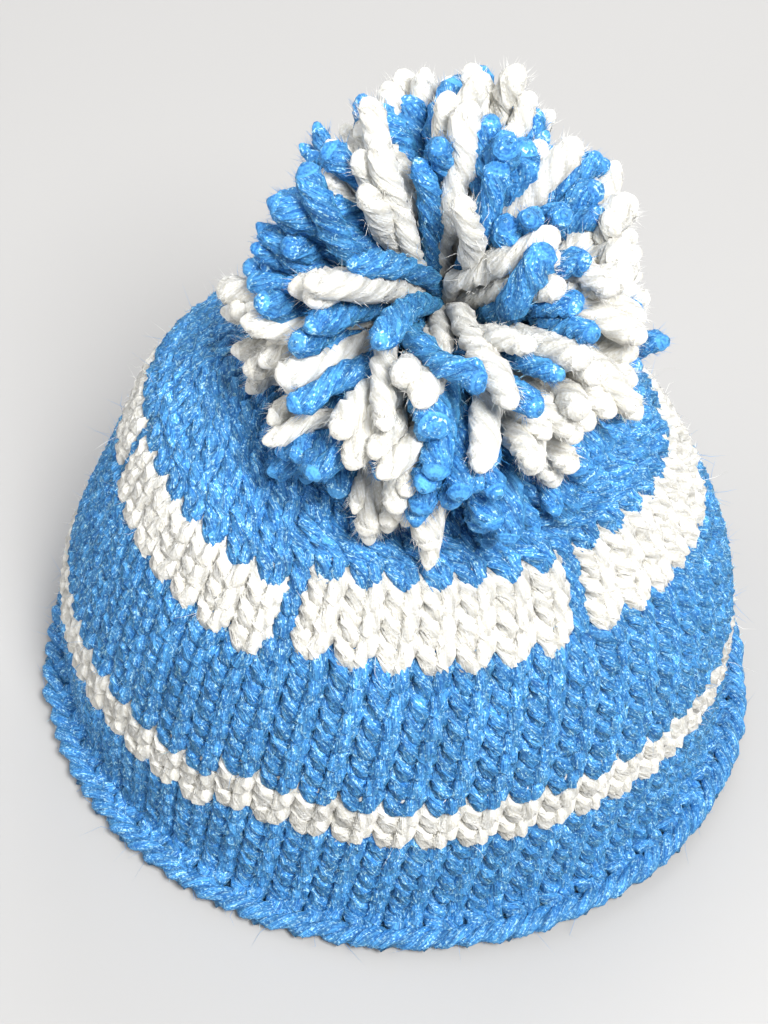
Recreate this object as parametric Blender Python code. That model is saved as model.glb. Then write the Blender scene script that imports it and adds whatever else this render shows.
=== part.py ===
"""A hand-knitted baby hat with a pompom, standing on its open brim.

The hat is one hollow dome of stockinette. Courses of stitches run round it as a helix, so every course
rises by one course height on its way round and steps at the start of the round. Places on the wall are
given by a stitch number along the round and a course number up from the cast-on edge.
"""

import math
import random

import bmesh
import bpy
from mathutils import Matrix, Vector

# Driving dimensions, in metres
BRIM_HALF_WIDTH = 0.0530
BRIM_HALF_DEPTH = 0.0513
COURSE_HEIGHT = 0.00374
WALL = 0.0040
CLEARANCE = 0.0003
RIB_RELIEF = 0.0007
EDGE_CURL = 0.0030
POMPOM_HALF_WIDTH = 0.0262
POMPOM_HALF_DEPTH = 0.0300
POMPOM_HALF_HEIGHT = 0.0300
POMPOM_LEAN_SIDE = 0.0075
POMPOM_LEAN_FRONT = 0.0151
POMPOM_LIFT = 0.0168

# Knitted counts
BLOCK_COUNT = 7
BLOCK_STITCHES = 7
GAP_STITCHES = 1
BAND_COURSES = 6
STRIPE_COURSES = 2
BODY_COURSES = 7
BLOCK_COURSES = 3
CROWN_COURSES = 11

# Angles, and slips of the knitting, in stitches or courses
FRONT_BLOCK_TURN = math.radians(10.8)
COLUMN_SLIP = 0.134
STEP_AT_FRONT = 0.6
SIDE_LEAN = math.radians(-4.2)
SMOOTH_ANGLE = math.radians(50.0)

# Lean of the wall from the vertical, along the meridian from the brim to the top
MERIDIAN = (
    # share of the meridian, lean in degrees
    (0.00, 1.0),
    (0.10, -3.0),
    (0.24, 8.5),
    (0.39, 17.5),
    (0.56, 26.5),
    (0.66, 48.0),
    (0.77, 74.5),
    (0.90, 90.5),
    (1.00, 89.0),
)
MERIDIAN_STEPS = 240

# The soft dome slumps: it swells and sinks round the hat, more and more up to the blocks
SLUMP_FIRST_COURSE = 3
SLUMP_SWELLS = (
    # lobes, share of the radius that follows the cosine, share that follows the sine
    (0, -0.038, 0.000),
    (1, 0.133, 0.103),
    (2, 0.008, -0.020),
    (3, -0.003, 0.009),
    (4, 0.001, -0.011),
)
SLUMP_RISES = (
    # lobes, share of the radius that follows the cosine, share that follows the sine
    (1, 0.051, -0.063),
    (2, -0.013, 0.019),
    (3, -0.021, 0.000),
)

# The cast-on edge curls outwards over its first courses
CURL = (
    # course, share of the curl, share of the ribs
    (0.0, 0.55, 0.5),
    (0.45, 1.00, 1.0),
    (1.05, 0.80, 1.0),
    (1.50, 0.10, 1.0),
    (2.60, 0.00, 1.0),
)

# Levels of the dome above the blocks, as shares of the crown's courses
CROWN_LEVELS = (0.18, 0.36, 0.54, 0.72, 0.88)

# The pompom: a head, and locks whose section is a share of the cell that each one grows from
LOCK_FINENESS = 3
LOCK_SEED = 11
HEAD_SHARE = 0.66
LOCK_RINGS = (
    # share of the lock's length, share of its cell
    (0.55, 0.84),
    (0.92, 0.66),
)
LOCK_LENGTH_SPREAD = 0.07
LOCK_LEAN = 0.10

# Yarn colours: red, green, blue
YARNS = {
    "blue_yarn": (0.030, 0.165, 0.480),
    "white_yarn": (0.860, 0.840, 0.770),
    "pompom_yarn": (0.430, 0.560, 0.700),
}
YARN_ROUGHNESS = 0.62

# Worked out from the sizes above
SECTION_STITCHES = BLOCK_STITCHES + GAP_STITCHES
STITCH_COUNT = BLOCK_COUNT * SECTION_STITCHES
STITCH_ANGLE = math.tau / STITCH_COUNT
STRIPE_START = BAND_COURSES
BODY_START = STRIPE_START + STRIPE_COURSES
BLOCK_START = BODY_START + BODY_COURSES
CROWN_START = BLOCK_START + BLOCK_COURSES
COURSE_COUNT = CROWN_START + CROWN_COURSES
MERIDIAN_LENGTH = COURSE_COUNT * COURSE_HEIGHT
HALF_GAP_COURSES = CLEARANCE / 2 / COURSE_HEIGHT
FIRST_BLOCK = FRONT_BLOCK_TURN / STITCH_ANGLE - BLOCK_STITCHES / 2
ROUND_START = FIRST_BLOCK - GAP_STITCHES


def between(table, at, column=1):
    """A column of a table, read between its rows by the first column."""
    for low, high in zip(table, table[1:]):
        if at <= high[0]:
            share = max(0.0, at - low[0]) / (high[0] - low[0])
            return low[column] + (high[column] - low[column]) * share
    return table[-1][column]


def traced_meridian():
    """Runs and rises from the brim up, each as a share of the meridian's length."""
    run, rise = [0.0], [0.0]
    for step in range(MERIDIAN_STEPS):
        lean = math.radians(between(MERIDIAN, (step + 0.5) / MERIDIAN_STEPS))
        run.append(run[-1] + math.sin(lean) / MERIDIAN_STEPS)
        rise.append(rise[-1] + math.cos(lean) / MERIDIAN_STEPS)
    return run, rise


RUN, RISE = traced_meridian()


def along(values, share):
    at = min(max(share, 0.0), 1.0) * MERIDIAN_STEPS
    low = min(int(at), MERIDIAN_STEPS - 1)
    return values[low] + (values[low + 1] - values[low]) * (at - low)


def helix_rise(stitch, course):
    """How far a course has climbed at this stitch: one course a round, faded out at the brim and the top."""
    past = (stitch - ROUND_START) % STITCH_COUNT
    if past < GAP_STITCHES:
        climbed = past / GAP_STITCHES
    else:
        climbed = 1 - (past - GAP_STITCHES) / (STITCH_COUNT - GAP_STITCHES)
    fade = min(1.0, course / BAND_COURSES, (COURSE_COUNT - course) / CROWN_COURSES)
    return (climbed - STEP_AT_FRONT) * fade


def slumped(table, angle, course):
    """The sum of a table's waves at this angle, eased in between the brim and the blocks."""
    eased = min(max((course - SLUMP_FIRST_COURSE) / (BLOCK_START - SLUMP_FIRST_COURSE), 0.0), 1.0)
    eased *= eased * (3 - 2 * eased)
    waves = (front * math.cos(lobes * angle) + side * math.sin(lobes * angle) for lobes, front, side in table)
    return eased * sum(waves)


def on_wall(stitch, course, depth=0.0):
    """A point of the wall: depth runs inwards from the fabric's outer face."""
    share = (course + helix_rise(stitch, course)) / COURSE_COUNT
    slip = COLUMN_SLIP * (min(course, CROWN_START) - BLOCK_START)
    angle = (stitch + slip) * STITCH_ANGLE
    radius = (1 - along(RUN, share) / RUN[-1]) * (1 + slumped(SLUMP_SWELLS, angle, course))
    height = along(RISE, share) * MERIDIAN_LENGTH
    height += slumped(SLUMP_RISES, angle, course) * radius * BRIM_HALF_WIDTH
    lean = math.radians(between(MERIDIAN, share)) * min(1.0, course)
    outward = Vector((math.sin(angle) / BRIM_HALF_WIDTH, -math.cos(angle) / BRIM_HALF_DEPTH, 0))
    outward = outward.normalized() * math.cos(lean) + Vector((0, 0, math.sin(lean)))
    place = Vector((
        radius * BRIM_HALF_WIDTH * math.sin(angle) + math.tan(SIDE_LEAN) * height,
        -radius * BRIM_HALF_DEPTH * math.cos(angle),
        height,
    ))
    return place - outward * depth


def yarn_material(name):
    material = bpy.data.materials.new(name)
    material.use_nodes = True
    shader = material.node_tree.nodes["Principled BSDF"]
    shader.inputs["Base Color"].default_value = (*YARNS[name], 1)
    shader.inputs["Roughness"].default_value = YARN_ROUGHNESS
    shader.inputs["Metallic"].default_value = 0.0
    return material


def mesh_object(name, bm, yarn):
    """A named object of this mesh, its faces turned outwards."""
    bmesh.ops.recalc_face_normals(bm, faces=bm.faces)
    mesh = bpy.data.meshes.new(name)
    bm.to_mesh(mesh)
    bm.free()
    mesh.materials.append(yarn_material(yarn))
    mesh.shade_smooth()
    mesh.set_sharp_from_angle(angle=SMOOTH_ANGLE)
    obj = bpy.data.objects.new(name, mesh)
    bpy.context.scene.collection.objects.link(obj)
    return obj


def skin(bm, stitches, courses, is_open, proud, depth, closed_round):
    """One face of the wall as a grid, with the cells that is_open names left out."""
    grid = [[bm.verts.new(on_wall(s, c, depth - proud(s, c))) for s in stitches] for c in courses]
    columns = len(stitches) if closed_round else len(stitches) - 1
    for row in range(len(courses) - 1):
        for column in range(columns):
            if is_open(row, column):
                continue
            beside = (column + 1) % len(stitches)
            bm.faces.new((
                grid[row][column],
                grid[row][beside],
                grid[row + 1][beside],
                grid[row + 1][column],
            ))
    return grid


def joined_edges(bm, outer, inner):
    """Closes the wall between the free edges of its two faces."""
    partner = {
        out: into for outs, intos in zip(outer, inner) for out, into in zip(outs, intos)
    }
    free = [edge for edge in bm.edges if edge.is_boundary and edge.verts[0] in partner]
    for edge in free:
        first, second = edge.verts
        bm.faces.new((first, second, partner[second], partner[first]))


def domed_top(bm, ring, depth):
    top = bm.verts.new(on_wall(0, COURSE_COUNT, depth))
    for column, vertex in enumerate(ring):
        bm.faces.new((vertex, ring[(column + 1) % len(ring)], top))


def wall_piece(name, yarn, stitches, courses, is_open=None, proud=None, closed_round=True, domed=False):
    """A piece of the wall as one closed body between its outer and inner faces."""
    is_open = is_open or (lambda row, column: False)
    flush = lambda stitch, course: 0.0
    bm = bmesh.new()
    outer = skin(bm, stitches, courses, is_open, proud or flush, 0.0, closed_round)
    inner = skin(bm, stitches, courses, is_open, flush, WALL, closed_round)
    if domed:
        domed_top(bm, outer[-1], 0.0)
        domed_top(bm, inner[-1], WALL)
    joined_edges(bm, outer, inner)
    unused = [vertex for vertex in bm.verts if not vertex.link_faces]
    bmesh.ops.delete(bm, geom=unused, context="VERTS")
    return mesh_object(name, bm, yarn)


def edge_relief(stitch, course):
    """Ribs of the lower band, one for each column of stitches, and the curl of the cast-on edge."""
    rib = RIB_RELIEF / 2 * math.cos(math.tau * (stitch - FIRST_BLOCK)) * between(CURL, course, 2)
    return EDGE_CURL * between(CURL, course) - rib


def lower_band():
    stitches = [FIRST_BLOCK + half / 2 for half in range(2 * STITCH_COUNT)]
    middle = (CURL[-1][0] + BAND_COURSES) / 2
    courses = [row[0] for row in CURL] + [middle, BAND_COURSES - HALF_GAP_COURSES]
    wall_piece("lower_band", "blue_yarn", stitches, courses, proud=edge_relief)


def white_stripe():
    stitches = [FIRST_BLOCK + stitch for stitch in range(STITCH_COUNT)]
    courses = [STRIPE_START + HALF_GAP_COURSES, BODY_START - HALF_GAP_COURSES]
    wall_piece("white_stripe", "white_yarn", stitches, courses)


def half_gap_stitches():
    """Half the clearance, in stitches, where the blocks sit."""
    corner = on_wall(FIRST_BLOCK, CROWN_START)
    return CLEARANCE / 2 / (on_wall(FIRST_BLOCK + 1, CROWN_START) - corner).length


def block_stitches(block, widened):
    """The stitch lines of one block, with its two sides moved outwards by widened."""
    first = FIRST_BLOCK + block * SECTION_STITCHES
    inside = [first + stitch for stitch in range(1, BLOCK_STITCHES)]
    return [first - widened, *inside, first + BLOCK_STITCHES + widened]


def dome_lines():
    """The stitch lines and course lines of the dome, which frame the windows of the blocks."""
    half_gap = half_gap_stitches()
    stitches = [line for block in range(BLOCK_COUNT) for line in block_stitches(block, half_gap)]
    courses = [
        BODY_START + HALF_GAP_COURSES,
        BODY_START + BODY_COURSES / 2,
        BLOCK_START - HALF_GAP_COURSES,
        BLOCK_START + BLOCK_COURSES / 2,
        CROWN_START + HALF_GAP_COURSES,
        *(CROWN_START + level * CROWN_COURSES for level in CROWN_LEVELS),
    ]
    return stitches, courses


def crown():
    stitches, courses = dome_lines()

    def in_window(row, column):
        beside_block = column % (BLOCK_STITCHES + 1) < BLOCK_STITCHES
        return beside_block and BLOCK_START < (courses[row] + courses[row + 1]) / 2 < CROWN_START

    wall_piece("crown", "blue_yarn", stitches, courses, is_open=in_window, domed=True)


def white_blocks():
    half_gap = half_gap_stitches()
    courses = [
        BLOCK_START + HALF_GAP_COURSES,
        BLOCK_START + BLOCK_COURSES / 2,
        CROWN_START - HALF_GAP_COURSES,
    ]
    for block in range(BLOCK_COUNT):
        stitches = block_stitches(block, -half_gap)
        wall_piece(f"block_{block + 1}", "white_yarn", stitches, courses, closed_round=False)


def crown_clearance():
    """The dome's outer form, larger by the clearance, to cut the pompom's underside with."""
    stitches, courses = dome_lines()
    bm = bmesh.new()
    grid = skin(bm, stitches, courses, lambda row, column: False, lambda s, c: 0.0, -CLEARANCE, True)
    domed_top(bm, grid[-1], -CLEARANCE)
    bm.faces.new(grid[0])
    cutter = mesh_object("crown_clearance", bm, "blue_yarn")
    cutter.hide_render = True
    cutter.display_type = "WIRE"
    return cutter


def pompom_place():
    """The pompom sits on the middle of the crown and hangs over towards the front."""
    middle = on_wall(0, COURSE_COUNT) + Vector((POMPOM_LEAN_SIDE, -POMPOM_LEAN_FRONT, POMPOM_LIFT))
    size = Matrix.Diagonal((POMPOM_HALF_WIDTH, POMPOM_HALF_DEPTH, POMPOM_HALF_HEIGHT, 1))
    return Matrix.Translation(middle) @ size


def lock_cells():
    """Cells that cover a ball: a centre for each, and its corners, which neighbouring cells share."""
    ball = bmesh.new()
    bmesh.ops.create_icosphere(ball, subdivisions=LOCK_FINENESS, radius=1.0)
    corners = [face.calc_center_median().normalized() for face in ball.faces]
    cells = []
    for vertex in ball.verts:
        centre = vertex.co.normalized()
        across = centre.orthogonal().normalized()
        upward = centre.cross(across)
        around = sorted(
            (face.index for face in vertex.link_faces),
            key=lambda index: math.atan2(corners[index].dot(upward), corners[index].dot(across)),
        )
        cells.append((centre, around))
    ball.free()
    return corners, cells


def pompom():
    """A head whose every cell grows a lock, with each lock inside its own cone."""
    corners, cells = lock_cells()
    chance = random.Random(LOCK_SEED)
    bm = bmesh.new()
    valleys = [bm.verts.new(corner * HEAD_SHARE) for corner in corners]
    for centre, around in cells:
        length = (1 - HEAD_SHARE) * (1 - chance.uniform(0, 2 * LOCK_LENGTH_SPREAD))
        sideways = (corners[around[0]] - centre) * chance.uniform(-LOCK_LEAN, LOCK_LEAN)
        ring = [valleys[index] for index in around]
        for height, width in LOCK_RINGS:
            aim = (centre + sideways * height).normalized()
            lifted = HEAD_SHARE + length * height
            above = [bm.verts.new((aim + (corners[index] - centre) * width) * lifted) for index in around]
            for here, (low, high) in enumerate(zip(ring, above)):
                beside = (here + 1) % len(ring)
                bm.faces.new((low, ring[beside], above[beside], high))
            ring = above
        tip = bm.verts.new((centre + sideways).normalized() * (HEAD_SHARE + length))
        for here, vertex in enumerate(ring):
            bm.faces.new((vertex, ring[(here + 1) % len(ring)], tip))
    bm.transform(pompom_place())
    obj = mesh_object("pompom", bm, "pompom_yarn")
    trim = obj.modifiers.new("seat_on_crown", "BOOLEAN")
    trim.operation = "DIFFERENCE"
    trim.object = crown_clearance()


def clear_scene():
    for obj in list(bpy.data.objects):
        bpy.data.objects.remove(obj)


clear_scene()
lower_band()
white_stripe()
crown()
white_blocks()
pompom()
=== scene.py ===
"""Looks of the hand-knitted baby hat: every loop of its yarn, the pompom's strands and the halo of hairs."""

import math

import bpy
import numpy as np
from mathutils import Matrix, Vector
from mathutils.bvhtree import BVHTree


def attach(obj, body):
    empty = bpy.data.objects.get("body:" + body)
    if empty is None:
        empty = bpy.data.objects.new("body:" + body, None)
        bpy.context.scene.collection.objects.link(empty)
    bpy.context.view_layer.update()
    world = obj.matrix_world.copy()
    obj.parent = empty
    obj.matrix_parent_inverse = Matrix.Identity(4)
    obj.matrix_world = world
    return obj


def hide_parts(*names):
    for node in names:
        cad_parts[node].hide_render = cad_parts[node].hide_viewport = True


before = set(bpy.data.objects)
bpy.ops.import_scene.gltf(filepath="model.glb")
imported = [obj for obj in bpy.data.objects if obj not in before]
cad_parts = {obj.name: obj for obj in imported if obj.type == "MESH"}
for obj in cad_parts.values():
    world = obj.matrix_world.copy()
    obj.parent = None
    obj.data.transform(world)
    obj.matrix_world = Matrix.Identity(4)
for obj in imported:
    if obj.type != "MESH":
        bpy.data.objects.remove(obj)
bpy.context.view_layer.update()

# The hat's form, with the same values as in the CAD. Lengths are in metres and angles in radians.
BRIM_HALF_WIDTH = 0.0530
BRIM_HALF_DEPTH = 0.0513
COURSE_HEIGHT = 0.00374
WALL = 0.0040
FRONT_BLOCK_TURN = math.radians(10.8)
COLUMN_SLIP = 0.134
STEP_AT_FRONT = 0.6
SIDE_LEAN = math.tan(math.radians(-4.2))
BAND_END, STRIPE_END, BLOCK_START, CROWN_START, COURSE_COUNT = 6, 8, 15, 18, 29
SECTIONS, SECTION_STITCHES = 7, 8
BLOCK_STITCHES = SECTION_STITCHES - 1
STITCH_COUNT = SECTIONS * SECTION_STITCHES
STITCH_ANGLE = math.tau / STITCH_COUNT
FIRST_BLOCK = FRONT_BLOCK_TURN / STITCH_ANGLE - BLOCK_STITCHES / 2
ROUND_START = FIRST_BLOCK - 1
# share of the way up the wall, and there the wall's lean inwards in degrees
MERIDIAN = np.array([
    (0.00, 1.0), (0.10, -3.0), (0.24, 8.5), (0.39, 17.5), (0.56, 26.5),
    (0.66, 48.0), (0.77, 74.5), (0.90, 90.5), (1.00, 89.0),
])
# the slump of the soft wall: waves round the hat, their cosine and sine parts
SLUMP_SWELLS = ((0, -0.038, 0.0), (1, 0.133, 0.103), (2, 0.008, -0.020), (3, -0.003, 0.009), (4, 0.001, -0.011))
SLUMP_RISES = ((1, 0.051, -0.063), (2, -0.013, 0.019), (3, -0.021, 0.0))
SLUMP_FIRST_COURSE = 3
MERIDIAN_STEPS = 240
LEVEL_STEP = 0.02
LAST_LEVEL = COURSE_COUNT - 0.01

# The loops of yarn. Heights and levels are in courses, necks and pinches in stitches.
YARN = 0.00132
LOOP_HEIGHT = 0.93
LOOP_NECK = 0.235
LOOP_DEPTH = 0.00078
LOOP_INSET = 0.0001
COLUMN_ROUND = 0.0011
# painted shade in the hollows: the darkest share of the colour, and the depth and span over which it brightens
PAINTED_HOLLOW_SHADE = 0.46
PAINTED_SHADE_DEPTH = 0.0010
PAINTED_SHADE_SPAN = 0.0030
PLIES = 3
PLY_RELIEF = 0.075
PLY_PITCH = 0.0085
TUBE_SIDES = 9
LOOP_STEPS = 16
CURL_LEVEL = 1.30
CURL_RADIUS = 0.0022
CAST_ON_LEVEL = -0.08
CAST_ON_TWIST = 0.00075
CAST_ON_SHORT = 0.6
CAST_ON_TURNS = 0.75
CAST_ON_INSET = 0.0003
CAST_ON_STEPS = 14
CAST_ON_FIBRES = 900
FLARE = 0.0010
FLARE_LEVEL = 3.0
PINCH = 0.23
PINCH_DEPTH = 0.0009
PINCH_COURSE = 16.6
WHITE_PLUMP = 1.1
GAP_PLUMP = 0.92
# how many stitches each section of the crown has, course by course
CROWN_STITCHES = np.array([8, 7, 7, 6, 5, 5, 4, 3, 3, 2, 1], float)
SPARSE_ROW = 24
SPARSE_SHARE = 0.3

# The fibres that stand off the yarn
FIBRES_A_STITCH = 27
SHORT_SHARE = 0.88
# the share of the short fibres that take the third material, a painted glint colour on blue yarn
GLINT_SHARE = 0.4
SHORT_LENGTHS = 0.0005, 0.0017
GLINT_THICK, SHORT_THICK, LONG_THICK = 0.00004, 0.000034, 0.000032
FLOOR_GAP = 0.0001

rng = np.random.default_rng(7)

SHARES = np.linspace(0, 1, MERIDIAN_STEPS + 1)
LEANS = np.radians(np.interp((SHARES[1:] + SHARES[:-1]) / 2, MERIDIAN[:, 0], MERIDIAN[:, 1]))
RUN = np.concatenate([[0], np.cumsum(np.sin(LEANS))]) / MERIDIAN_STEPS
RISE = np.concatenate([[0], np.cumsum(np.cos(LEANS))]) / MERIDIAN_STEPS


def slumped(rows, angle, level):
    """How far the soft wall has slumped at an angle and a level, as a share of the radius."""
    eased = np.clip((level - SLUMP_FIRST_COURSE) / (BLOCK_START - SLUMP_FIRST_COURSE), 0, 1)
    eased = eased * eased * (3 - 2 * eased)
    return eased * sum(c * np.cos(n * angle) + s * np.sin(n * angle) for n, c, s in rows)


def bare_wall(stitch, level):
    """The hat's outer form at this stitch and this level."""
    share = np.clip(level / COURSE_COUNT, -0.05, 1)
    angle = (stitch + COLUMN_SLIP * (np.minimum(level, CROWN_START) - BLOCK_START)) * STITCH_ANGLE
    radius = (1 - np.interp(share, SHARES, RUN) / RUN[-1]) * (1 + slumped(SLUMP_SWELLS, angle, level))
    height = np.interp(share, SHARES, RISE) * COURSE_COUNT * COURSE_HEIGHT
    height = height + slumped(SLUMP_RISES, angle, level) * radius * BRIM_HALF_WIDTH
    return np.stack([
        radius * BRIM_HALF_WIDTH * np.sin(angle) + SIDE_LEAN * height,
        -radius * BRIM_HALF_DEPTH * np.cos(angle),
        height,
    ], -1)


def unit(v):
    return v / np.maximum(np.linalg.norm(v, axis=-1, keepdims=True), 1e-12)


def wall(stitch, level, depth):
    """Places on the fabric and its outward directions. Below CURL_LEVEL the edge rolls outwards."""
    on = np.maximum(level, CURL_LEVEL)
    here = bare_wall(stitch, on)
    along = bare_wall(stitch + LEVEL_STEP, on) - bare_wall(stitch - LEVEL_STEP, on)
    high = np.minimum(on + LEVEL_STEP, LAST_LEVEL)
    rise = bare_wall(stitch, high) - bare_wall(stitch, np.minimum(on, LAST_LEVEL - 2 * LEVEL_STEP) - LEVEL_STEP)
    out = unit(np.cross(along, rise))
    down = -unit(rise)
    turn = np.maximum(CURL_LEVEL - level, 0)[..., None] * COURSE_HEIGHT / CURL_RADIUS
    flare = FLARE * np.clip(1 - np.maximum(level, 0) / FLARE_LEVEL, 0, 1)[..., None] ** 2
    middle = here + out * (flare - WALL / 2) + down * CURL_RADIUS * np.sin(turn)
    middle = middle + out * CURL_RADIUS * (1 - np.cos(turn))
    normal = out * np.cos(turn) - down * np.sin(turn)
    return middle + normal * (WALL / 2 - depth[..., None]), normal


def tubes(paths, normals, radii, sides, plies, relief, pitch, phase, lumps, plain_from=None):
    """Closed tubes of twisted plies along a batch of paths: places, four-sided faces, three-sided faces, UVs."""
    count, steps = paths.shape[:2]
    ahead = unit(np.gradient(paths, axis=1))
    side = unit(np.cross(ahead, normals))
    up = np.cross(side, ahead)
    run = np.concatenate([np.zeros((count, 1)), np.cumsum(np.linalg.norm(np.diff(paths, axis=1), axis=2), 1)], 1)
    around = np.arange(sides) * math.tau / sides
    turned = around[None, None] + np.reshape(phase, (-1, 1, 1))
    turned = turned + run[..., None] * math.tau / pitch
    spread = radii[..., None] * (1 + np.reshape(relief, (1, -1, 1)) * np.cos(plies * around)[None, None])
    rough = rng.normal(0, lumps, (count, steps, sides))
    rough = rough + np.roll(rough, 1, 2) + np.roll(rough, -1, 2)
    rough[:, 1:-1] = (rough[:, :-2] + rough[:, 1:-1] + rough[:, 2:]) / 1.6
    spread = spread * (1 + rough / 1.8)
    ring = paths[:, :, None] + spread[..., None] * (
        np.cos(turned)[..., None] * side[:, :, None] + np.sin(turned)[..., None] * up[:, :, None]
    )
    places = np.concatenate([ring.reshape(-1, 3), paths[:, 0], paths[:, -1]])
    base = (np.arange(count) * steps * sides)[:, None, None]
    row = (np.arange(steps - 1) * sides)[None, :, None]
    low = base + row + np.arange(sides)[None, None]
    beside = base + row + (np.arange(sides) + 1)[None, None] % sides
    quads = np.stack([low, beside, beside + sides, low + sides], -1).reshape(-1, 4)
    v_low = np.broadcast_to(run[:, :-1, None], low.shape) * 100
    v_high = np.broadcast_to(run[:, 1:, None], low.shape) * 100
    u_low = np.broadcast_to((np.arange(sides) / sides)[None, None], low.shape)
    u_high = u_low + 1 / sides
    if plain_from is not None:
        capped = (np.arange(steps - 1) >= plain_from)[None, :, None]
        u_low, u_high = np.where(capped, 0.0, u_low), np.where(capped, 0.0, u_high)
    uv_quads = np.stack([
        np.stack([u_low, v_low], -1), np.stack([u_high, v_low], -1),
        np.stack([u_high, v_high], -1), np.stack([u_low, v_high], -1),
    ], -2).reshape(-1, 4, 2)
    ring0 = (base[:, :, 0] + np.arange(sides)[None])
    ring0b = (base[:, :, 0] + (np.arange(sides) + 1)[None] % sides)
    hub0 = np.broadcast_to(count * steps * sides + np.arange(count)[:, None], ring0.shape)
    last = (steps - 1) * sides
    tris = np.concatenate([
        np.stack([ring0b, ring0, hub0], -1).reshape(-1, 3),
        np.stack([ring0 + last, ring0b + last, hub0 + count], -1).reshape(-1, 3),
    ])
    u0 = np.broadcast_to((np.arange(sides) / sides)[None], ring0.shape)
    v_end = np.broadcast_to(run[:, -1:] * 100, ring0.shape)
    zero = np.zeros_like(u0)
    uv_tris = np.concatenate([
        np.stack([np.stack([u0 + 1 / sides, zero], -1), np.stack([u0, zero], -1), np.stack([u0, zero], -1)], -2),
        np.stack([np.stack([u0, v_end], -1), np.stack([u0 + 1 / sides, v_end], -1), np.stack([u0, v_end], -1)], -2),
    ]).reshape(-1, 3, 2)
    return places, quads, tris, uv_quads, uv_tris


class Piece:
    """Gathers tubes and fibres into one mesh."""

    def __init__(self):
        self.parts = []

    def add(self, made, material, shade=1.0):
        """Takes tubes or fibres, the number of their material and their painted shade and random tone at each
        place.
        """
        places = made[0]
        self.parts.append((*made, material, np.broadcast_to(shade, (len(places),))))

    def build(self, name, materials):
        places, quads, tris, uvq, uvt, mat_q, mat_t, shades = [], [], [], [], [], [], [], []
        offset = 0
        for p, q, t, uq, ut, material, shade in self.parts:
            places.append(p)
            quads.append(q + offset)
            tris.append(t + offset)
            uvq.append(uq)
            uvt.append(ut)
            mat_q.append(np.full(len(q), material))
            mat_t.append(np.full(len(t), material))
            shades.append(shade)
            offset += len(p)
        places, quads, tris = np.concatenate(places), np.concatenate(quads), np.concatenate(tris)
        places[:, 2] = np.maximum(places[:, 2], FLOOR_GAP)
        mesh = bpy.data.meshes.new(name)
        mesh.vertices.add(len(places))
        mesh.vertices.foreach_set("co", places.astype(np.float32).ravel())
        loops = np.concatenate([quads.ravel(), tris.ravel()])
        mesh.loops.add(len(loops))
        mesh.loops.foreach_set("vertex_index", loops.astype(np.int32))
        mesh.polygons.add(len(quads) + len(tris))
        starts = np.concatenate([np.arange(len(quads)) * 4, len(quads) * 4 + np.arange(len(tris)) * 3])
        mesh.polygons.foreach_set("loop_start", starts.astype(np.int32))
        mesh.polygons.foreach_set("material_index", np.concatenate(mat_q + mat_t).astype(np.int32))
        layer = mesh.uv_layers.new(name="yarn")
        uv = np.concatenate([np.concatenate(uvq).reshape(-1, 2), np.concatenate(uvt).reshape(-1, 2)])
        layer.data.foreach_set("uv", uv.astype(np.float32).ravel())
        # a point attribute with the painted shade and random tone that the yarn materials multiply into their
        # colour
        painted_shade_and_tone = mesh.attributes.new("painted_shade_and_tone", "FLOAT", "POINT")
        painted_shade_and_tone.data.foreach_set("value", np.concatenate(shades).astype(np.float32))
        for material in materials:
            mesh.materials.append(material)
        mesh.update(calc_edges=True)
        mesh.validate()
        mesh.shade_smooth()
        obj = bpy.data.objects.new(name, mesh)
        bpy.context.scene.collection.objects.link(obj)
        return obj


# Materials

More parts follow.
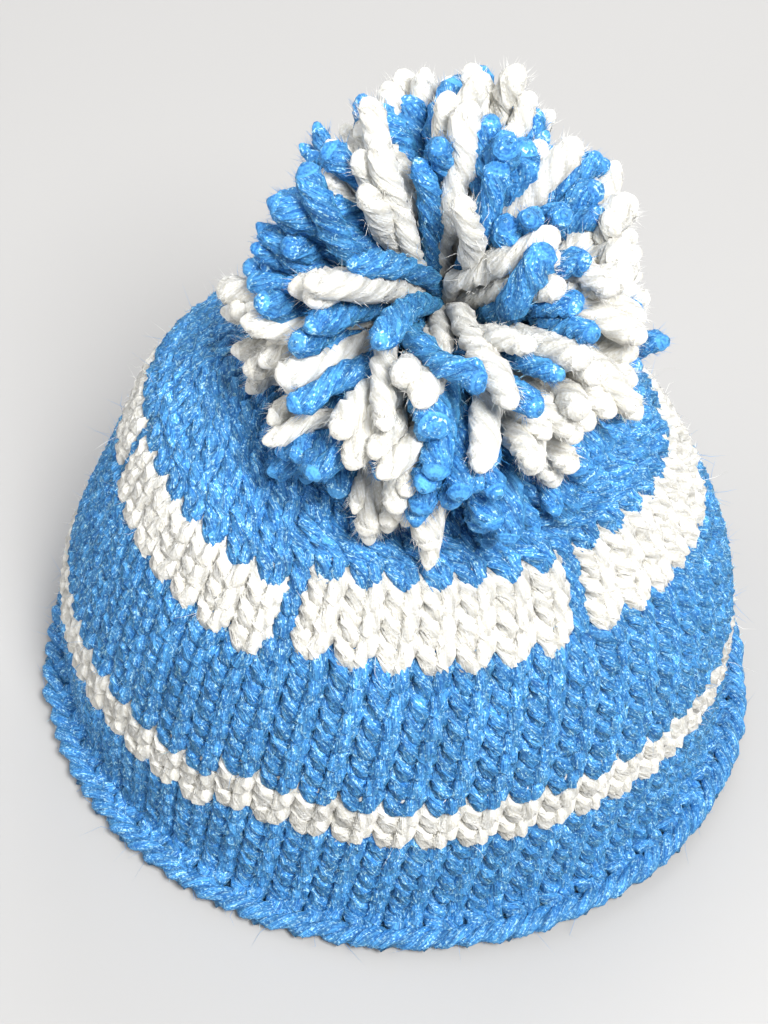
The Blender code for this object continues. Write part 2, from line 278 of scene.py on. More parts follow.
def yarn_material(name, dark, light, glint, plies, roughness, sheen, sheen_tint, mottling, glints_from, relief):
    """Spun yarn: plies round the tube and fibres along them from the tube's own UVs, and specks from its place.
    Painted shade darkens the ply grooves, and painted glints lighten some specks.
    """
    material = bpy.data.materials.new(name)
    material.use_nodes = True
    nodes, links = material.node_tree.nodes, material.node_tree.links
    shader = nodes["Principled BSDF"]

    def node(kind, **values):
        made = nodes.new(kind)
        for key, value in values.items():
            setattr(made, key, value)
        return made

    def math_node(operation, first, second=None, third=None):
        made = node("ShaderNodeMath", operation=operation)
        for index, value in enumerate((first, second, third)):
            if value is None:
                continue
            if isinstance(value, (int, float)):
                made.inputs[index].default_value = value
            else:
                links.new(value, made.inputs[index])
        return made.outputs[0]

    def noise_node(vector, scale, detail, roughness=0.5):
        made = node("ShaderNodeTexNoise")
        made.inputs["Scale"].default_value = scale
        made.inputs["Detail"].default_value = detail
        made.inputs["Roughness"].default_value = roughness
        links.new(vector, made.inputs["Vector"])
        return made.outputs[0]

    def range_node(value, low, high):
        made = node("ShaderNodeMapRange")
        made.inputs["From Min"].default_value = low
        made.inputs["From Max"].default_value = high
        links.new(value, made.inputs["Value"])
        return made.outputs[0]

    split = node("ShaderNodeSeparateXYZ")
    links.new(node("ShaderNodeUVMap", uv_map="yarn").outputs[0], split.inputs[0])
    turn = math_node("MULTIPLY", split.outputs[0], math.tau)
    fibre = node("ShaderNodeCombineXYZ")
    lay = math_node("ADD", turn, math_node("MULTIPLY", split.outputs[1], 1.6))
    links.new(math_node("COSINE", lay), fibre.inputs[0])
    links.new(math_node("SINE", lay), fibre.inputs[1])
    links.new(math_node("MULTIPLY", split.outputs[1], 0.9), fibre.inputs[2])
    where = node("ShaderNodeTexCoord").outputs["Object"]
    fibres = noise_node(fibre.outputs[0], 5.5, 3.0, 0.62)
    ridge = math_node("COSINE", math_node("MULTIPLY", turn, plies))
    groove = math_node("POWER", math_node("MULTIPLY_ADD", ridge, 0.5, 0.5), 0.6)
    mottle = noise_node(where, 420.0, 2.0)
    speckle = noise_node(where, 2600.0, 2.0)
    painted_shade_and_tone = node("ShaderNodeAttribute", attribute_name="painted_shade_and_tone")
    # painted shade: the colour is darkened in the ply grooves and by the painted shade and tone attribute; the
    # mottle is a random tone
    painted_shade_and_mottle = math_node("MULTIPLY", math_node("MULTIPLY_ADD", groove, 0.35, 0.65), painted_shade_and_tone.outputs["Fac"])
    painted_shade_and_mottle = math_node("MULTIPLY", painted_shade_and_mottle, math_node("MULTIPLY_ADD", mottle, mottling, 1 - mottling / 2))
    specked = math_node("ADD", fibres, math_node("MULTIPLY_ADD", speckle, 0.5, -0.25))
    blend = node("ShaderNodeMix", data_type="RGBA")
    links.new(range_node(specked, 0.37, 0.63), blend.inputs["Factor"])
    blend.inputs["A"].default_value = (*dark, 1)
    blend.inputs["B"].default_value = (*light, 1)
    # painted glints: specks where the fibre and speck noises run high take the pale glint colour
    glint_noise = noise_node(fibre.outputs[0], 9.0, 2.0)
    glints = math_node("MULTIPLY_ADD", speckle, 0.5, math_node("MULTIPLY", glint_noise, 0.5))
    glinting = node("ShaderNodeMix", data_type="RGBA")
    links.new(range_node(glints, glints_from, glints_from + 0.06), glinting.inputs["Factor"])
    links.new(blend.outputs["Result"], glinting.inputs["A"])
    glinting.inputs["B"].default_value = (*glint, 1)
    scaled = node("ShaderNodeMix", data_type="RGBA", blend_type="MULTIPLY")
    scaled.inputs["Factor"].default_value = 1.0
    links.new(glinting.outputs["Result"], scaled.inputs["A"])
    links.new(painted_shade_and_mottle, scaled.inputs["B"])
    links.new(scaled.outputs["Result"], shader.inputs["Base Color"])
    height = math_node("MULTIPLY_ADD", fibres, 0.7, math_node("MULTIPLY", groove, 0.3))
    height = math_node("MULTIPLY_ADD", speckle, 0.5, height)
    bump = node("ShaderNodeBump")
    bump.inputs["Strength"].default_value = 1.0
    bump.inputs["Distance"].default_value = relief
    links.new(height, bump.inputs["Height"])
    links.new(bump.outputs[0], shader.inputs["Normal"])
    shader.inputs["Roughness"].default_value = roughness
    shader.inputs["Specular IOR Level"].default_value = 0.35
    shader.inputs["Sheen Weight"].default_value = sheen
    shader.inputs["Sheen Roughness"].default_value = 0.35
    shader.inputs["Sheen Tint"].default_value = (*sheen_tint, 1)
    return material


def hair_material(name, colour):
    material = bpy.data.materials.new(name)
    material.use_nodes = True
    shader = material.node_tree.nodes["Principled BSDF"]
    shader.inputs["Base Color"].default_value = (*colour, 1)
    shader.inputs["Roughness"].default_value = 0.4
    shader.inputs["Specular IOR Level"].default_value = 0.5
    return material


STRAND_PLIES = 4
# deep and light colours of the two yarns, and the colour of their painted glints
BLUE_TONES = (0.018, 0.150, 0.460), (0.105, 0.415, 0.820), (0.520, 0.870, 1.000)
WHITE_TONES = (0.740, 0.710, 0.620), (0.900, 0.890, 0.840), (0.950, 0.945, 0.915)
BLUE_SHEEN, WHITE_SHEEN = (0.15, 0.60, 1.0), (1.0, 0.98, 0.94)
BLUE = yarn_material("blue_yarn_knit", *BLUE_TONES, PLIES, 0.55, 0.3, BLUE_SHEEN, 1.1, 0.554, 0.0004)
WHITE = yarn_material("white_yarn_knit", *WHITE_TONES, PLIES, 0.7, 0.4, WHITE_SHEEN, 0.12, 0.555, 0.0003)
BLUE_STRAND = yarn_material(
    "blue_yarn_strand", *BLUE_TONES, STRAND_PLIES, 0.65, 0.4, BLUE_SHEEN, 1.0, 0.57, 0.0004)
WHITE_STRAND = yarn_material(
    "white_yarn_strand", *WHITE_TONES, STRAND_PLIES, 0.75, 0.4, WHITE_SHEEN, 0.05, 0.555, 0.00022)
BLUE_HAIR = hair_material("blue_hair", (0.06, 0.32, 0.72))
# the pale colour of these fibres is a painted glint
BLUE_GLINT = hair_material("blue_glint", (0.50, 0.86, 1.0))
WHITE_HAIR = hair_material("white_hair", (0.94, 0.93, 0.88))


# The knitting

WOBBLE = rng.normal(0, 1, (4, COURSE_COUNT + 2, STITCH_COUNT + 2))


def wobble(kind, row, kappa):
    """A smooth random unevenness along a course, about 0 and of size 1."""
    at = np.clip(kappa, 0, STITCH_COUNT)
    low = np.floor(at).astype(int)
    t = at - low
    t = t * t * (3 - 2 * t)
    grid = WOBBLE[kind, row]
    return grid[low] * (1 - t) + grid[low + 1] * t


def crown_scale(level):
    """How many stitches a section of the crown has at this level, read between the courses."""
    rows = CROWN_START + 0.5 + np.arange(len(CROWN_STITCHES))
    return np.interp(level, np.concatenate([[CROWN_START - 0.5], rows]), np.concatenate([[8], CROWN_STITCHES]))


def row_path(row, start, end, section_stitches):
    """The yarn's run over one course from one stitch line to another, as points and directions."""
    steps = int(round((end - start) * LOOP_STEPS)) + 1
    kappa = np.linspace(start, end, steps)
    phase = kappa - np.floor(kappa)
    whole = kappa * SECTION_STITCHES / section_stitches
    neck = LOOP_NECK + 0.012 * wobble(0, row, whole)
    x = kappa + neck * np.sin(4 * math.pi * kappa)
    y = -(LOOP_HEIGHT + 0.02 * wobble(1, row, whole)) * np.cos(2 * math.pi * kappa) + 0.035 * wobble(2, row, whole)
    if row == 0:
        y = np.where(y < 0, y * CAST_ON_SHORT, y)
    deep = WALL / 2 - LOOP_INSET + (LOOP_DEPTH + 0.00006 * wobble(3, row, whole)) * np.cos(4 * math.pi * kappa)
    course = row + 0.5 + y
    if section_stitches < SECTION_STITCHES or row >= CROWN_START:
        section = np.clip(np.floor(kappa / section_stitches - 1e-9), 0, SECTIONS - 1)
        local = x - section * section_stitches
        scale = crown_scale(course)
        from_end = np.minimum((section_stitches - local) / scale, 1.0 + 0.1 / scale)
        stitch = (section + 1) * SECTION_STITCHES - SECTION_STITCHES * from_end
    else:
        stitch = x
    climbed = 1 - stitch / STITCH_COUNT
    fade = np.clip(np.minimum(course / BAND_END, (COURSE_COUNT - course) / 11), 0, 1)
    level = course + (climbed - STEP_AT_FRONT) * fade
    # the narrow columns between the blocks are pulled in
    off = (stitch - 0.5 + SECTION_STITCHES / 2) % SECTION_STITCHES - SECTION_STITCHES / 2
    pulled = np.exp(-np.clip(np.abs(course - PINCH_COURSE) - 1.5, 0, None) ** 2 / 0.5)
    shape = np.where(np.abs(off) < 0.5, off / 0.5, np.sign(off) * np.exp(-((np.abs(off) - 0.5) / 1.4) ** 2))
    deep = deep + PINCH_DEPTH * np.exp(-(off / 0.6) ** 2) * pulled
    stitch = stitch - PINCH * shape * pulled
    deep = deep + COLUMN_ROUND * np.cos(2 * math.pi * x) * 0.5
    points, normals = wall(stitch + ROUND_START, level, deep)
    girth = bare_wall(stitch + ROUND_START + 0.5, level) - bare_wall(stitch + ROUND_START - 0.5, level)
    wide = np.clip(np.linalg.norm(girth, axis=1) / 0.0058, 0.3, 1.2) * SECTION_STITCHES / section_stitches
    radius = YARN * np.clip(wide, 0.5, 1.15) ** 0.3 * (1 - 0.08 * np.cos(4 * math.pi * kappa))
    return points, normals, radius, deep


def course_stitches(row):
    return int(CROWN_STITCHES[row - CROWN_START]) if row >= CROWN_START else SECTION_STITCHES


def knit(piece, row, start, end, plump=1.0):
    """Adds the yarn of one course between two stitch lines, with painted shade in the hollows."""
    points, normals, radius, deep = row_path(row, start, end, course_stitches(row))
    made = tubes(points[None], normals[None], radius[None] * plump, TUBE_SIDES, PLIES, PLY_RELIEF,
                 PLY_PITCH, rng.uniform(0, math.tau), 0.03)
    rings = made[0][:-2].reshape(len(points), TUBE_SIDES, 3) - points[:, None]
    # painted shade: yarn lying deeper in the hollows is darker and yarn on the ridges a little lighter; a random
    # tone also varies along the course
    high = np.einsum("ijk,ik->ij", rings, normals) - (deep - WALL / 2)[:, None]
    lit = np.clip((high + PAINTED_SHADE_DEPTH) / PAINTED_SHADE_SPAN, 0, 1)
    lit = PAINTED_HOLLOW_SHADE + (1.08 - PAINTED_HOLLOW_SHADE) * lit * lit * (3 - 2 * lit)
    uneven = wobble(0, row, np.linspace(start, end, len(points)))
    painted_shade_and_tone = lit * (1 + 0.04 * rng.normal()) * (1 + 0.07 * uneven)[:, None]
    piece.add(made, 0, np.concatenate([painted_shade_and_tone.ravel(), [1, 1]]))
    return points, normals, radius * plump


def crosswise(ways):
    """A guide direction for each way that doesn't run along it."""
    return np.where(np.abs(ways[..., 2:3]) < 0.9, np.array([0, 0, 1.0]), np.array([1.0, 0, 0]))


def corners(ways):
    """Three directions round each way."""
    side = unit(np.cross(ways, crosswise(ways)))
    up = np.cross(side, ways)
    corner = np.arange(3) * math.tau / 3
    return np.cos(corner)[None, :, None] * side[:, None] + np.sin(corner)[None, :, None] * up[:, None]


def spikes(roots, ways, bends, lengths, thick):
    """Fine fibres as closed three-sided spikes with one bend."""
    count = len(roots)
    ring = corners(ways)
    low = roots[:, None] + ring * thick
    elbow = roots + ways * lengths * 0.5
    high = elbow[:, None] + ring * thick * 0.8
    tips = roots + (ways + bends) * lengths
    tips[:, 2] = np.maximum(tips[:, 2], 2 * FLOOR_GAP)
    places = np.concatenate([low, high, tips[:, None]], 1).reshape(-1, 3)
    base = (np.arange(count) * 7)[:, None, None]
    quads = (base + np.array([[0, 1, 4, 3], [1, 2, 5, 4], [2, 0, 3, 5]])[None]).reshape(-1, 4)
    tris = (base + np.array([[2, 1, 0], [3, 4, 6], [4, 5, 6], [5, 3, 6]])[None]).reshape(-1, 3)
    return places, quads, tris, np.zeros((len(quads), 4, 2)), np.zeros((len(tris), 3, 2))


def fuzz(roots, ways, lengths, thick):
    """Short straight fibres as closed slivers with four faces."""
    count = len(roots)
    ring = corners(ways)
    low = roots[:, None] + ring * thick
    tips = roots + ways * lengths
    tips[:, 2] = np.maximum(tips[:, 2], 2 * FLOOR_GAP)
    places = np.concatenate([low, tips[:, None]], 1).reshape(-1, 3)
    base = (np.arange(count) * 4)[:, None, None]
    tris = (base + np.array([[2, 1, 0], [0, 1, 3], [1, 2, 3], [2, 0, 3]])[None]).reshape(-1, 3)
    return places, np.zeros((0, 4), int), tris, np.zeros((0, 4, 2)), np.zeros((len(tris), 3, 2))


def hairs(piece, roots, normals, radius, number, longest, half_round=1.7):
    """Fibres that stand off the yarn: many short ones that lie close to it and a few long ones."""
    short = int(number * SHORT_SHARE)
    pick = rng.integers(2, len(roots) - 2, number)
    root, out = roots[pick], normals[pick]
    ahead = unit(roots[pick + 1] - roots[pick - 1])
    side = np.cross(out, ahead)
    angle = rng.uniform(-half_round, half_round, number)[:, None]
    away = out * np.cos(angle) + side * np.sin(angle)
    start = root + away * radius[pick][:, None] * rng.uniform(0.93, 1.02, (number, 1))
    way = unit(away * rng.uniform(0.05, 0.55, (number, 1)) + ahead * rng.choice([-1, 1], (number, 1))
               + rng.normal(0, 0.38, (number, 3)))
    length = rng.uniform(*SHORT_LENGTHS, (number, 1))
    # the first short fibres take the third material: on blue yarn its pale colour is a painted glint, on white it
    # is the plain fibre colour
    bright = int(short * GLINT_SHARE)
    piece.add(fuzz(start[:bright], way[:bright], length[:bright], GLINT_THICK), 2)
    piece.add(fuzz(start[bright:short], way[bright:short], length[bright:short], SHORT_THICK), 1)
    way = unit(way + away * rng.uniform(0.0, 0.8, (number, 1)))[short:]
    bend = rng.normal(0, 0.3, (number - short, 3)) + away[short:] * 0.15 + np.array([0, 0, -0.06])
    length = longest * (0.25 + 0.75 * rng.uniform(0, 1, (number - short, 1)) ** 3)
    piece.add(spikes(start[short:], way, bend, length, LONG_THICK), 1)


def finish_piece(piece, name, materials, nodes):
    """Builds a piece whose materials are yarn, fibre and bright fibre with a painted glint colour, and puts it in
    its nodes' place.
    """
    obj = piece.build(name, materials)
    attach(obj, "root")
    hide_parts(*nodes)
    return obj


def whole_rows(piece, rows, plump=1.0):
    """Adds courses that run all the way round in one colour."""
    for row in rows:
        width = course_stitches(row) * SECTIONS
        share = SPARSE_SHARE if row > SPARSE_ROW else 1
        points, normals, radius = knit(piece, row, 0, width, plump)
        hairs(piece, points, normals, radius, int(FIBRES_A_STITCH * width * share), 0.005)
    return piece


def cast_on(piece):
    """The two strands that twist round each other along the cast-on edge."""
    kappa = np.linspace(0, STITCH_COUNT, STITCH_COUNT * CAST_ON_STEPS + 1)
    for strand in (0, math.pi):
        turn = CAST_ON_TURNS * math.tau * kappa + strand + 0.6 * wobble(1, 0, kappa)
        level = CAST_ON_LEVEL + CAST_ON_TWIST / COURSE_HEIGHT * np.cos(turn) + 0.05 * wobble(2, 0, kappa)
        deep = WALL / 2 + CAST_ON_INSET + CAST_ON_TWIST * (1 + 0.15 * wobble(0, 1, kappa)) * np.sin(turn)
        points, normals = wall(kappa + ROUND_START, level, deep)
        radius = YARN * (0.84 + 0.05 * wobble(3, 0, kappa))
        made = tubes(points[None], normals[None], radius[None], TUBE_SIDES, PLIES, PLY_RELIEF, PLY_PITCH, 0, 0.035)
        piece.add(made, 0)
        hairs(piece, points, -normals, radius, CAST_ON_FIBRES, 0.006, 2.6)


BLUE_SET = [BLUE, BLUE_HAIR, BLUE_GLINT]
WHITE_SET = [WHITE, WHITE_HAIR, WHITE_HAIR]
band = whole_rows(Piece(), range(0, BAND_END))
cast_on(band)
finish_piece(band, "knit_lower_band", BLUE_SET, ["lower_band"])
stripe = whole_rows(Piece(), range(BAND_END, STRIPE_END), WHITE_PLUMP)
finish_piece(stripe, "knit_white_stripe", WHITE_SET, ["white_stripe"])
body = whole_rows(Piece(), range(STRIPE_END, BLOCK_START))
for row in range(BLOCK_START, CROWN_START):
    for gap in range(SECTIONS):
        knit(body, row, gap * SECTION_STITCHES, gap * SECTION_STITCHES + 1, GAP_PLUMP)
finish_piece(body, "knit_crown_body", BLUE_SET, ["crown"])
top = whole_rows(Piece(), range(CROWN_START, COURSE_COUNT))
finish_piece(top, "knit_crown_top", BLUE_SET, ["crown"])
for block in range(SECTIONS):
    piece = Piece()
    for row in range(BLOCK_START, CROWN_START):
        first = block * SECTION_STITCHES + 1
        points, normals, radius = knit(piece, row, first, first + BLOCK_STITCHES, WHITE_PLUMP)
        hairs(piece, points, normals, radius, FIBRES_A_STITCH * BLOCK_STITCHES, 0.006)
    finish_piece(piece, f"knit_block_{block + 1}", WHITE_SET, [f"block_{block + 1}"])


# The pompom

POMPOM_HALF = np.array([0.0262, 0.0300, 0.0300])
POMPOM_LEAN = np.array([0.0075, -0.0151, 0.0168])
STRANDS = 405
POMPOM_SEED = 208
STRAND = 0.00190
STRAND_PITCH = 0.0115
STRAND_STEPS = 13
STRAND_ROOT = 0.22
STRAND_ROOM = 1.05
STRAND_DROOP = 0.0022
POMPOM_CUT = 0.96
SHORTEST_SHARE = 0.45
FURTHEST_END = 1.06
PUSH_ROUNDS = 14
# the rounded cut end of a strand, as rings added past its last step
END_DOME = np.radians([28, 52, 74])
DOME_LENGTH = 1.25
DOME_TONES = [1.0, 0.97, 0.95]
CAP_TONE = 0.94
STRAND_RELIEF = np.concatenate([np.full(STRAND_STEPS - 2, 0.075), [0.06, 0.05, 0.04, 0.02, 0.0]])
# the parting in the pompom's upper front, which its strands lie away from
PARTING = np.array([-0.06, -0.60, 0.80])
PARTING_WIDTH = math.radians(48)
PARTING_SPREAD = 0.50
# strands that show their colour: direction right, back and up, then 1 for blue and -1 for white
MARKS = np.array([
    (-0.54, 0.15, 0.83, -1), (-0.50, -0.14, 0.85, -1), (-0.35, 0.06, 0.94, -1), (-0.36, -0.18, 0.92, -1),
    (-0.22, 0.28, 0.93, 1), (-0.21, -0.04, 0.98, 1), (0.03, 0.18, 0.98, -1), (-0.09, -0.24, 0.97, -1),
    (0.20, 0.30, 0.93, -1), (0.41, 0.32, 0.86, 1), (0.29, 0.01, 0.96, 1), (0.12, -0.24, 0.96, 1),
    (-0.75, 0.35, 0.56, 1), (-0.64, -0.18, 0.74, 1), (-0.83, -0.17, 0.54, 1), (-0.86, -0.23, 0.45, 1),
    (-0.40, -0.41, 0.82, 1), (-0.25, -0.54, 0.80, 1), (-0.20, -0.53, 0.82, -1), (-0.11, -0.49, 0.87, 1),
    (-0.51, -0.57, 0.65, -1), (-0.67, -0.54, 0.52, -1), (-0.15, -0.72, 0.68, 1), (-0.08, -0.83, 0.56, 1),
    (0.05, -0.64, 0.76, 1), (0.18, -0.58, 0.79, -1), (0.34, -0.44, 0.83, -1), (0.53, -0.41, 0.74, -1),
    (0.69, -0.44, 0.58, -1), (0.34, -0.62, 0.70, 1), (0.09, -0.45, 0.89, -1), (0.33, -0.37, 0.87, 1),
    (0.62, -0.29, 0.73, 1), (0.50, -0.32, 0.81, 1), (0.61, 0.01, 0.79, 1), (0.43, -0.02, 0.90, -1),
    (0.81, 0.21, 0.55, -1), (0.52, -0.68, 0.51, -1), (0.88, -0.41, 0.25, -1), (0.65, -0.54, 0.53, 1),
    (0.44, -0.79, 0.42, 1), (0.06, -0.75, 0.66, -1), (0.25, -0.79, 0.56, -1), (-0.26, -0.77, 0.59, 1),
    (0.09, -0.86, 0.50, 1), (-0.46, -0.76, 0.46, -1), (-0.62, -0.67, 0.41, 1), (-0.80, -0.57, 0.19, -1),
    (-0.76, -0.66, 0.02, -1), (-0.56, -0.81, 0.19, 1), (-0.45, -0.88, 0.13, -1), (-0.26, -0.91, 0.32, -1),
    (0.02, -1.00, 0.08, 1), (0.05, -0.99, -0.13, 1), (-0.30, -0.95, -0.06, 1), (-0.49, -0.87, -0.06, 1),
    (-0.12, -0.99, 0.03, -1), (0.15, -0.93, 0.33, -1), (0.53, -0.84, 0.12, -1), (0.75, -0.64, 0.17, -1),
    (0.41, -0.91, 0.01, -1), (0.35, -0.93, -0.11, 1), (-0.27, -0.91, -0.31, -1), (0.02, -0.92, -0.39, -1),
    (-0.82, -0.42, 0.40, 1), (0.78, -0.28, 0.56, -1), (-0.51, 0.01, 0.86, 1), (0.63, -0.42, 0.66, -1),
])


def crown_surface():
    """The CAD crown and blocks as one search tree, for the strands to stop at."""
    places, faces = [], []
    for name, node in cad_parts.items():
        if name == "crown" or name.startswith("block"):
            offset = len(places)
            places.extend(v.co.copy() for v in node.data.vertices)
            faces.extend([offset + i for i in p.vertices] for p in node.data.polygons)
    return BVHTree.FromPolygons(places, faces)


def strand_colours(ways):
    """True for the blue strands: as the nearest note says, and in clusters where there is none."""
    gap = np.linalg.norm(ways[:, None] - unit(MARKS[:, :3])[None], axis=2)
    near = gap.argmin(1)
    clusters = unit(rng.normal(0, 1, (60, 3)))
    cluster_blue = rng.uniform(0, 1, 60) < 0.48
    far = cluster_blue[np.linalg.norm(ways[:, None] - clusters[None], axis=2).argmin(1)]
    return np.where(gap.min(1) < 0.28, MARKS[near, 3] > 0, far)


def push_apart(paths, t):
    """Moves strands that run through each other sideways, more so towards their free ends."""
    count, steps = paths.shape[:2]
    own = np.repeat(np.arange(count), steps)
    free = np.tile(np.clip((t - 0.15) / 0.3, 0, 1), count)
    wide = np.tile(STRAND * (0.62 + 0.42 * t) * 0.76, count)
    for _ in range(PUSH_ROUNDS):
        flat = paths.reshape(-1, 3)
        square = (flat ** 2).sum(1)
        gap2 = square[:, None] + square[None] - 2 * flat @ flat.T
        close = (gap2 < (wide[:, None] + wide[None]) ** 2) & (own[:, None] != own[None])
        first, second = np.nonzero(close)
        off = flat[first] - flat[second]
        gap = np.maximum(np.linalg.norm(off, axis=1, keepdims=True), 1e-6)
        share = off / gap * (wide[first, None] + wide[second, None] - gap) * 0.5
        move = np.zeros_like(flat)
        met = np.zeros(len(flat))
        np.add.at(move, first, share)
        np.add.at(met, first, 1)
        move = (move / np.maximum(met, 1)[:, None] * free[:, None]).reshape(count, steps, 3)
        smooth = move.copy()
        smooth[:, 1:-1] = move[:, :-2] * 0.3 + move[:, 1:-1] * 0.4 + move[:, 2:] * 0.3
        smooth[:, -1] = move[:, -1] * 0.6 + move[:, -2] * 0.4
        paths = paths + smooth * 0.9
    return paths


def strand_paths():
    """The strands' middles, from the tied core to the ends, kept clear of the hat."""
    top = bare_wall(np.zeros(1), np.full(1, float(COURSE_COUNT)))[0]
    centre = top + POMPOM_LEAN
    tree = crown_surface()
    turn = np.arange(STRANDS) + 0.5
    high = 1 - 2 * turn / STRANDS
    golden = turn * math.pi * (1 + 5 ** 0.5)
    ways = np.stack([np.sqrt(1 - high ** 2) * np.cos(golden), np.sqrt(1 - high ** 2) * np.sin(golden), high], -1)
    ways = unit(ways + rng.normal(0, 0.06, ways.shape))
    lengths = 1.0 + rng.normal(0.0, 0.05, (STRANDS, 1, 1)).clip(-0.12, 0.07)
    at = np.linspace(STRAND_ROOT, 1.0, STRAND_STEPS)[None, :, None]
    t = (at - STRAND_ROOT) / (1 - STRAND_ROOT)
    bends = rng.normal(0, 1, (STRANDS, 3)) * 0.0036
    bends += np.where(rng.uniform(0, 1, (STRANDS, 1)) < 0.2, rng.normal(0, 0.005, (STRANDS, 3)), 0)
    bends -= ways * np.sum(bends * ways, 1, keepdims=True)
    sway = np.cross(ways, bends)
    facing = np.clip(ways @ unit(PARTING), -1, 1)
    fall = unit(ways - facing[:, None] * unit(PARTING))
    lean = PARTING_SPREAD * np.exp(-(np.arccos(facing) / PARTING_WIDTH) ** 2) * rng.uniform(0.5, 1.2, STRANDS)
    laid = ways[:, None] * at + (fall * lean[:, None])[:, None] * at * t ** 0.8
    reach = np.linalg.norm(laid, axis=2, keepdims=True)
    laid = laid / np.maximum(reach / at, 1) ** 0.8
    paths = centre + laid * (POMPOM_HALF * POMPOM_CUT - STRAND) * lengths
    paths = paths + bends[:, None] * t ** 2 + sway[:, None] * np.sin(t * math.pi) * 0.35
    paths[..., 2] -= STRAND_DROOP * t[..., 0] ** 2 * (1 - np.maximum(ways[:, 2:], 0))
    paths = push_apart(paths, t[0, :, 0])
    keep = np.ones(STRANDS, bool)
    room = STRAND * STRAND_ROOM
    for i in range(STRANDS):
        free = STRAND_STEPS
        for j in range(STRAND_STEPS):
            spot = Vector(paths[i, j])
            under = tree.ray_cast(spot, Vector((0, 0, 1)))[0] is not None
            if under or tree.find_nearest(spot)[3] < room:
                free = j
                break
        if free < STRAND_STEPS:
            # a strand that meets the crown ends there, and a very short one is left out
            keep[i] = free > STRAND_STEPS * SHORTEST_SHARE
            if keep[i]:
                shares = np.linspace(0, free - 1, STRAND_STEPS)
                paths[i] = np.stack([np.interp(shares, np.arange(free), paths[i, :free, k]) for k in range(3)], -1)
        reach = np.linalg.norm((paths[i, -1] - centre) / POMPOM_HALF)
        keep[i] = keep[i] and reach < FURTHEST_END
    return centre, paths[keep]


def pompom():
    """Both colours of the pompom's strands. Sides, relief, lumps, the painted shade at the roots and fibres go by
    colour.
    """
    centre, paths = strand_paths()
    blue = strand_colours(unit((paths[:, -3] - centre) / POMPOM_HALF))
    last = unit(paths[:, -1] - paths[:, -3])
    dome = last[:, None] * (STRAND * DOME_LENGTH * np.sin(END_DOME))[None, :, None]
    paths = np.concatenate([paths, paths[:, -1:] + dome], 1)
    bloom = STRAND * np.concatenate([np.linspace(0.62, 1.04, STRAND_STEPS), np.cos(END_DOME)])
    for colour, name, materials, sides, relief, lumps, root_painted_shade, frays, fibres in (
            (True, "pompom_blue_strands", [BLUE_STRAND, BLUE_HAIR, BLUE_GLINT], 12, 0.95, 0.10, 0.35, 72, 70),
            (False, "pompom_white_strands", [WHITE_STRAND, WHITE_HAIR, WHITE_HAIR], 9, 0.35, 0.085, 0.6, 66, 59)):
        axis = paths[blue == colour]
        count = len(axis)
        ahead = unit(np.gradient(axis, axis=1))
        side = unit(np.cross(ahead, np.broadcast_to(crosswise(ahead[:, :1]), ahead.shape)))
        thick = bloom[None] * rng.normal(1, 0.09, (count, 1))
        end = np.clip((np.arange(len(bloom)) - len(bloom) + 8) / 7, 0, 1)[None]
        thick = thick * (1 - rng.uniform(0.0, 0.6, (count, 1)) * end ** 2)
        piece = Piece()
        made = tubes(axis, side, thick, sides, STRAND_PLIES, STRAND_RELIEF * relief, STRAND_PITCH,
                     rng.uniform(0, math.tau, (count, 1, 1)), lumps, STRAND_STEPS)
        tones = rng.normal(1, 0.06, count)
        # painted shade: each strand is darker towards the tied core, and each strand also has a random tone
        along = np.concatenate([np.linspace(root_painted_shade, 1.02, STRAND_STEPS), DOME_TONES])
        painted_shade_tones = np.repeat(tones[:, None] * along[None], sides, 1).ravel()
        piece.add(made, 0, np.concatenate([painted_shade_tones, tones, tones * CAP_TONE]))
        # the frayed ends, round each strand's last step
        tips = np.repeat(axis[:, -4], frays, 0)
        out = np.repeat(ahead[:, -4], frays, 0)
        spread = unit(np.cross(out, rng.normal(0, 1, out.shape)))
        tilt = np.arccos(rng.uniform(0.0, 1, (len(tips), 1)))
        away = out * np.cos(tilt) + spread * np.sin(tilt)
        way = unit(away * 0.5 + out * 0.8 + rng.normal(0, 0.3, out.shape))
        length = 0.0005 + 0.0017 * rng.uniform(0, 1, (len(tips), 1)) ** 2
        end_radius = np.repeat(thick[:, -4], frays)[:, None]
        root = tips + (away - out * (0.25 * np.cos(tilt))) * end_radius * 0.95
        piece.add(fuzz(root, way, length, LONG_THICK), 1)
        for index in range(count):
            hairs(piece, axis[index][4:-3], side[index][4:-3], thick[index][4:-3], fibres, 0.0045, 3.14)
        finish_piece(piece, name, materials, ["pompom"])


rng = np.random.default_rng(POMPOM_SEED)
pompom()


# Floor, light and camera

def floor():
    mesh = bpy.data.meshes.new("floor")
    size = 30.0
    mesh.from_pydata([(-size, -size, 0), (size, -size, 0), (size, size, 0), (-size, size, 0)], [], [(0, 1, 2, 3)])
    obj = bpy.data.objects.new("floor", mesh)
    bpy.context.scene.collection.objects.link(obj)
    material = bpy.data.materials.new("pale_floor")
    material.use_nodes = True
    shader = material.node_tree.nodes["Principled BSDF"]
    shader.inputs["Base Color"].default_value = (0.47, 0.46, 0.445, 1)
    shader.inputs["Roughness"].default_value = 0.8
    mesh.materials.append(material)


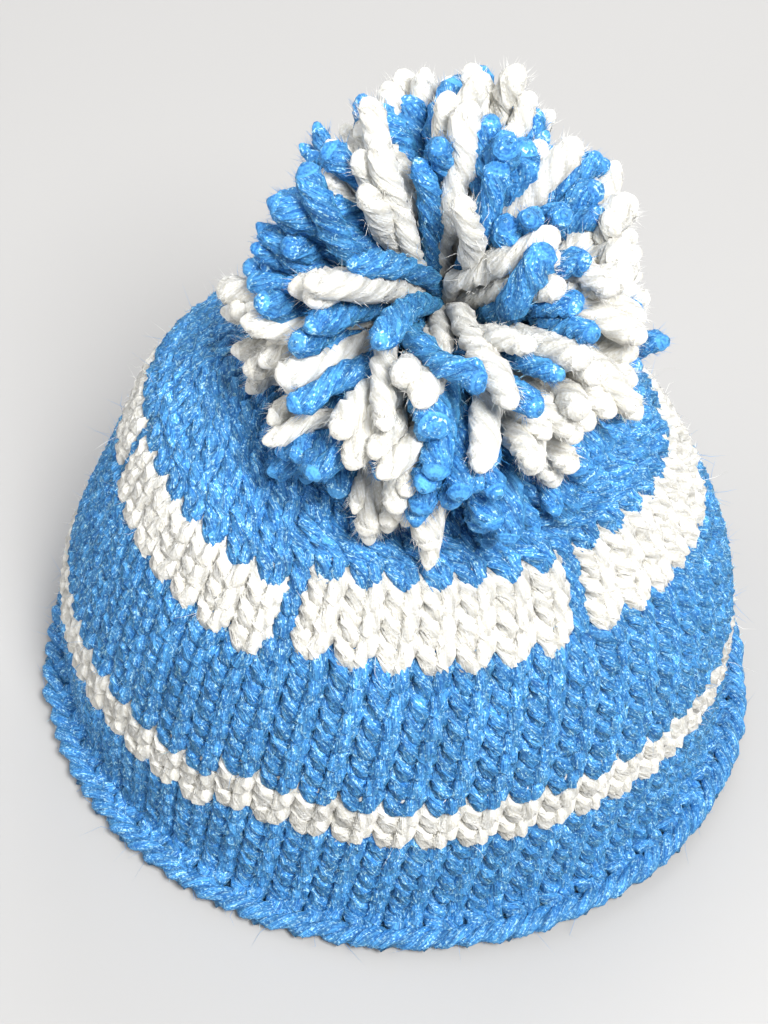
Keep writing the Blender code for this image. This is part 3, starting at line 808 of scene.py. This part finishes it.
def aimed(data, place, target):
    obj = bpy.data.objects.new(data.name, data)
    obj.location = place
    obj.rotation_mode = "QUATERNION"
    obj.rotation_quaternion = (Vector(target) - Vector(place)).to_track_quat("-Z", "Y")
    bpy.context.scene.collection.objects.link(obj)


def light(name, place, target, size, watts):
    data = bpy.data.lights.new(name, "AREA")
    data.shape = "DISK"
    data.size = size
    data.energy = watts
    aimed(data, place, target)


def sun(name, place, strength, spread):
    data = bpy.data.lights.new(name, "SUN")
    data.energy = strength
    data.angle = math.radians(spread)
    aimed(data, place, (0, 0, 0))


def camera():
    """The photo's view: how high and how far the camera is, then how it turns off the hat's middle."""
    rise, distance = 0.8947, 0.34973
    yaw, pitch, roll = -0.0127, 0.0711, 0.0922
    focal_pixels, frame_pixels, sensor = 2100, 1024, 36
    place = Vector((0, -distance * math.cos(rise), distance * math.sin(rise)))
    ahead = -place.normalized()
    right = ahead.cross(Vector((0, 0, 1))).normalized()
    up = right.cross(ahead)
    ahead = (ahead + math.tan(yaw) * right + math.tan(pitch) * up).normalized()
    right = ahead.cross(up).normalized()
    up = right.cross(ahead)
    right, up = math.cos(roll) * right + math.sin(roll) * up, math.cos(roll) * up - math.sin(roll) * right
    data = bpy.data.cameras.new("camera")
    data.sensor_fit = "AUTO"
    data.sensor_width = sensor
    data.lens = focal_pixels * sensor / frame_pixels
    data.clip_start, data.clip_end = 0.01, 20
    obj = bpy.data.objects.new("camera", data)
    basis = Matrix((right, up, -ahead)).transposed().to_4x4()
    obj.matrix_world = Matrix.Translation(place) @ basis
    bpy.context.scene.collection.objects.link(obj)
    bpy.context.scene.camera = obj


floor()
camera()
light("key", (0.12, -0.28, 0.44), (0, 0, 0.04), 0.14, 2.1)
sun("soft_sun", (0.12, -0.27, 0.46), 1.7, 18)
light("fill", (-0.45, -0.10, 0.40), (0, 0, 0.04), 0.6, 1.2)
light("back", (0.15, 0.55, 0.45), (0, 0, 0.05), 0.6, 2.4)
world = bpy.data.worlds.new("studio")
world.use_nodes = True
world.node_tree.nodes["Background"].inputs[0].default_value = (0.9, 0.93, 1.0, 1)
world.node_tree.nodes["Background"].inputs[1].default_value = 0.38
bpy.context.scene.world = world
bpy.context.scene.view_settings.view_transform = "Standard"
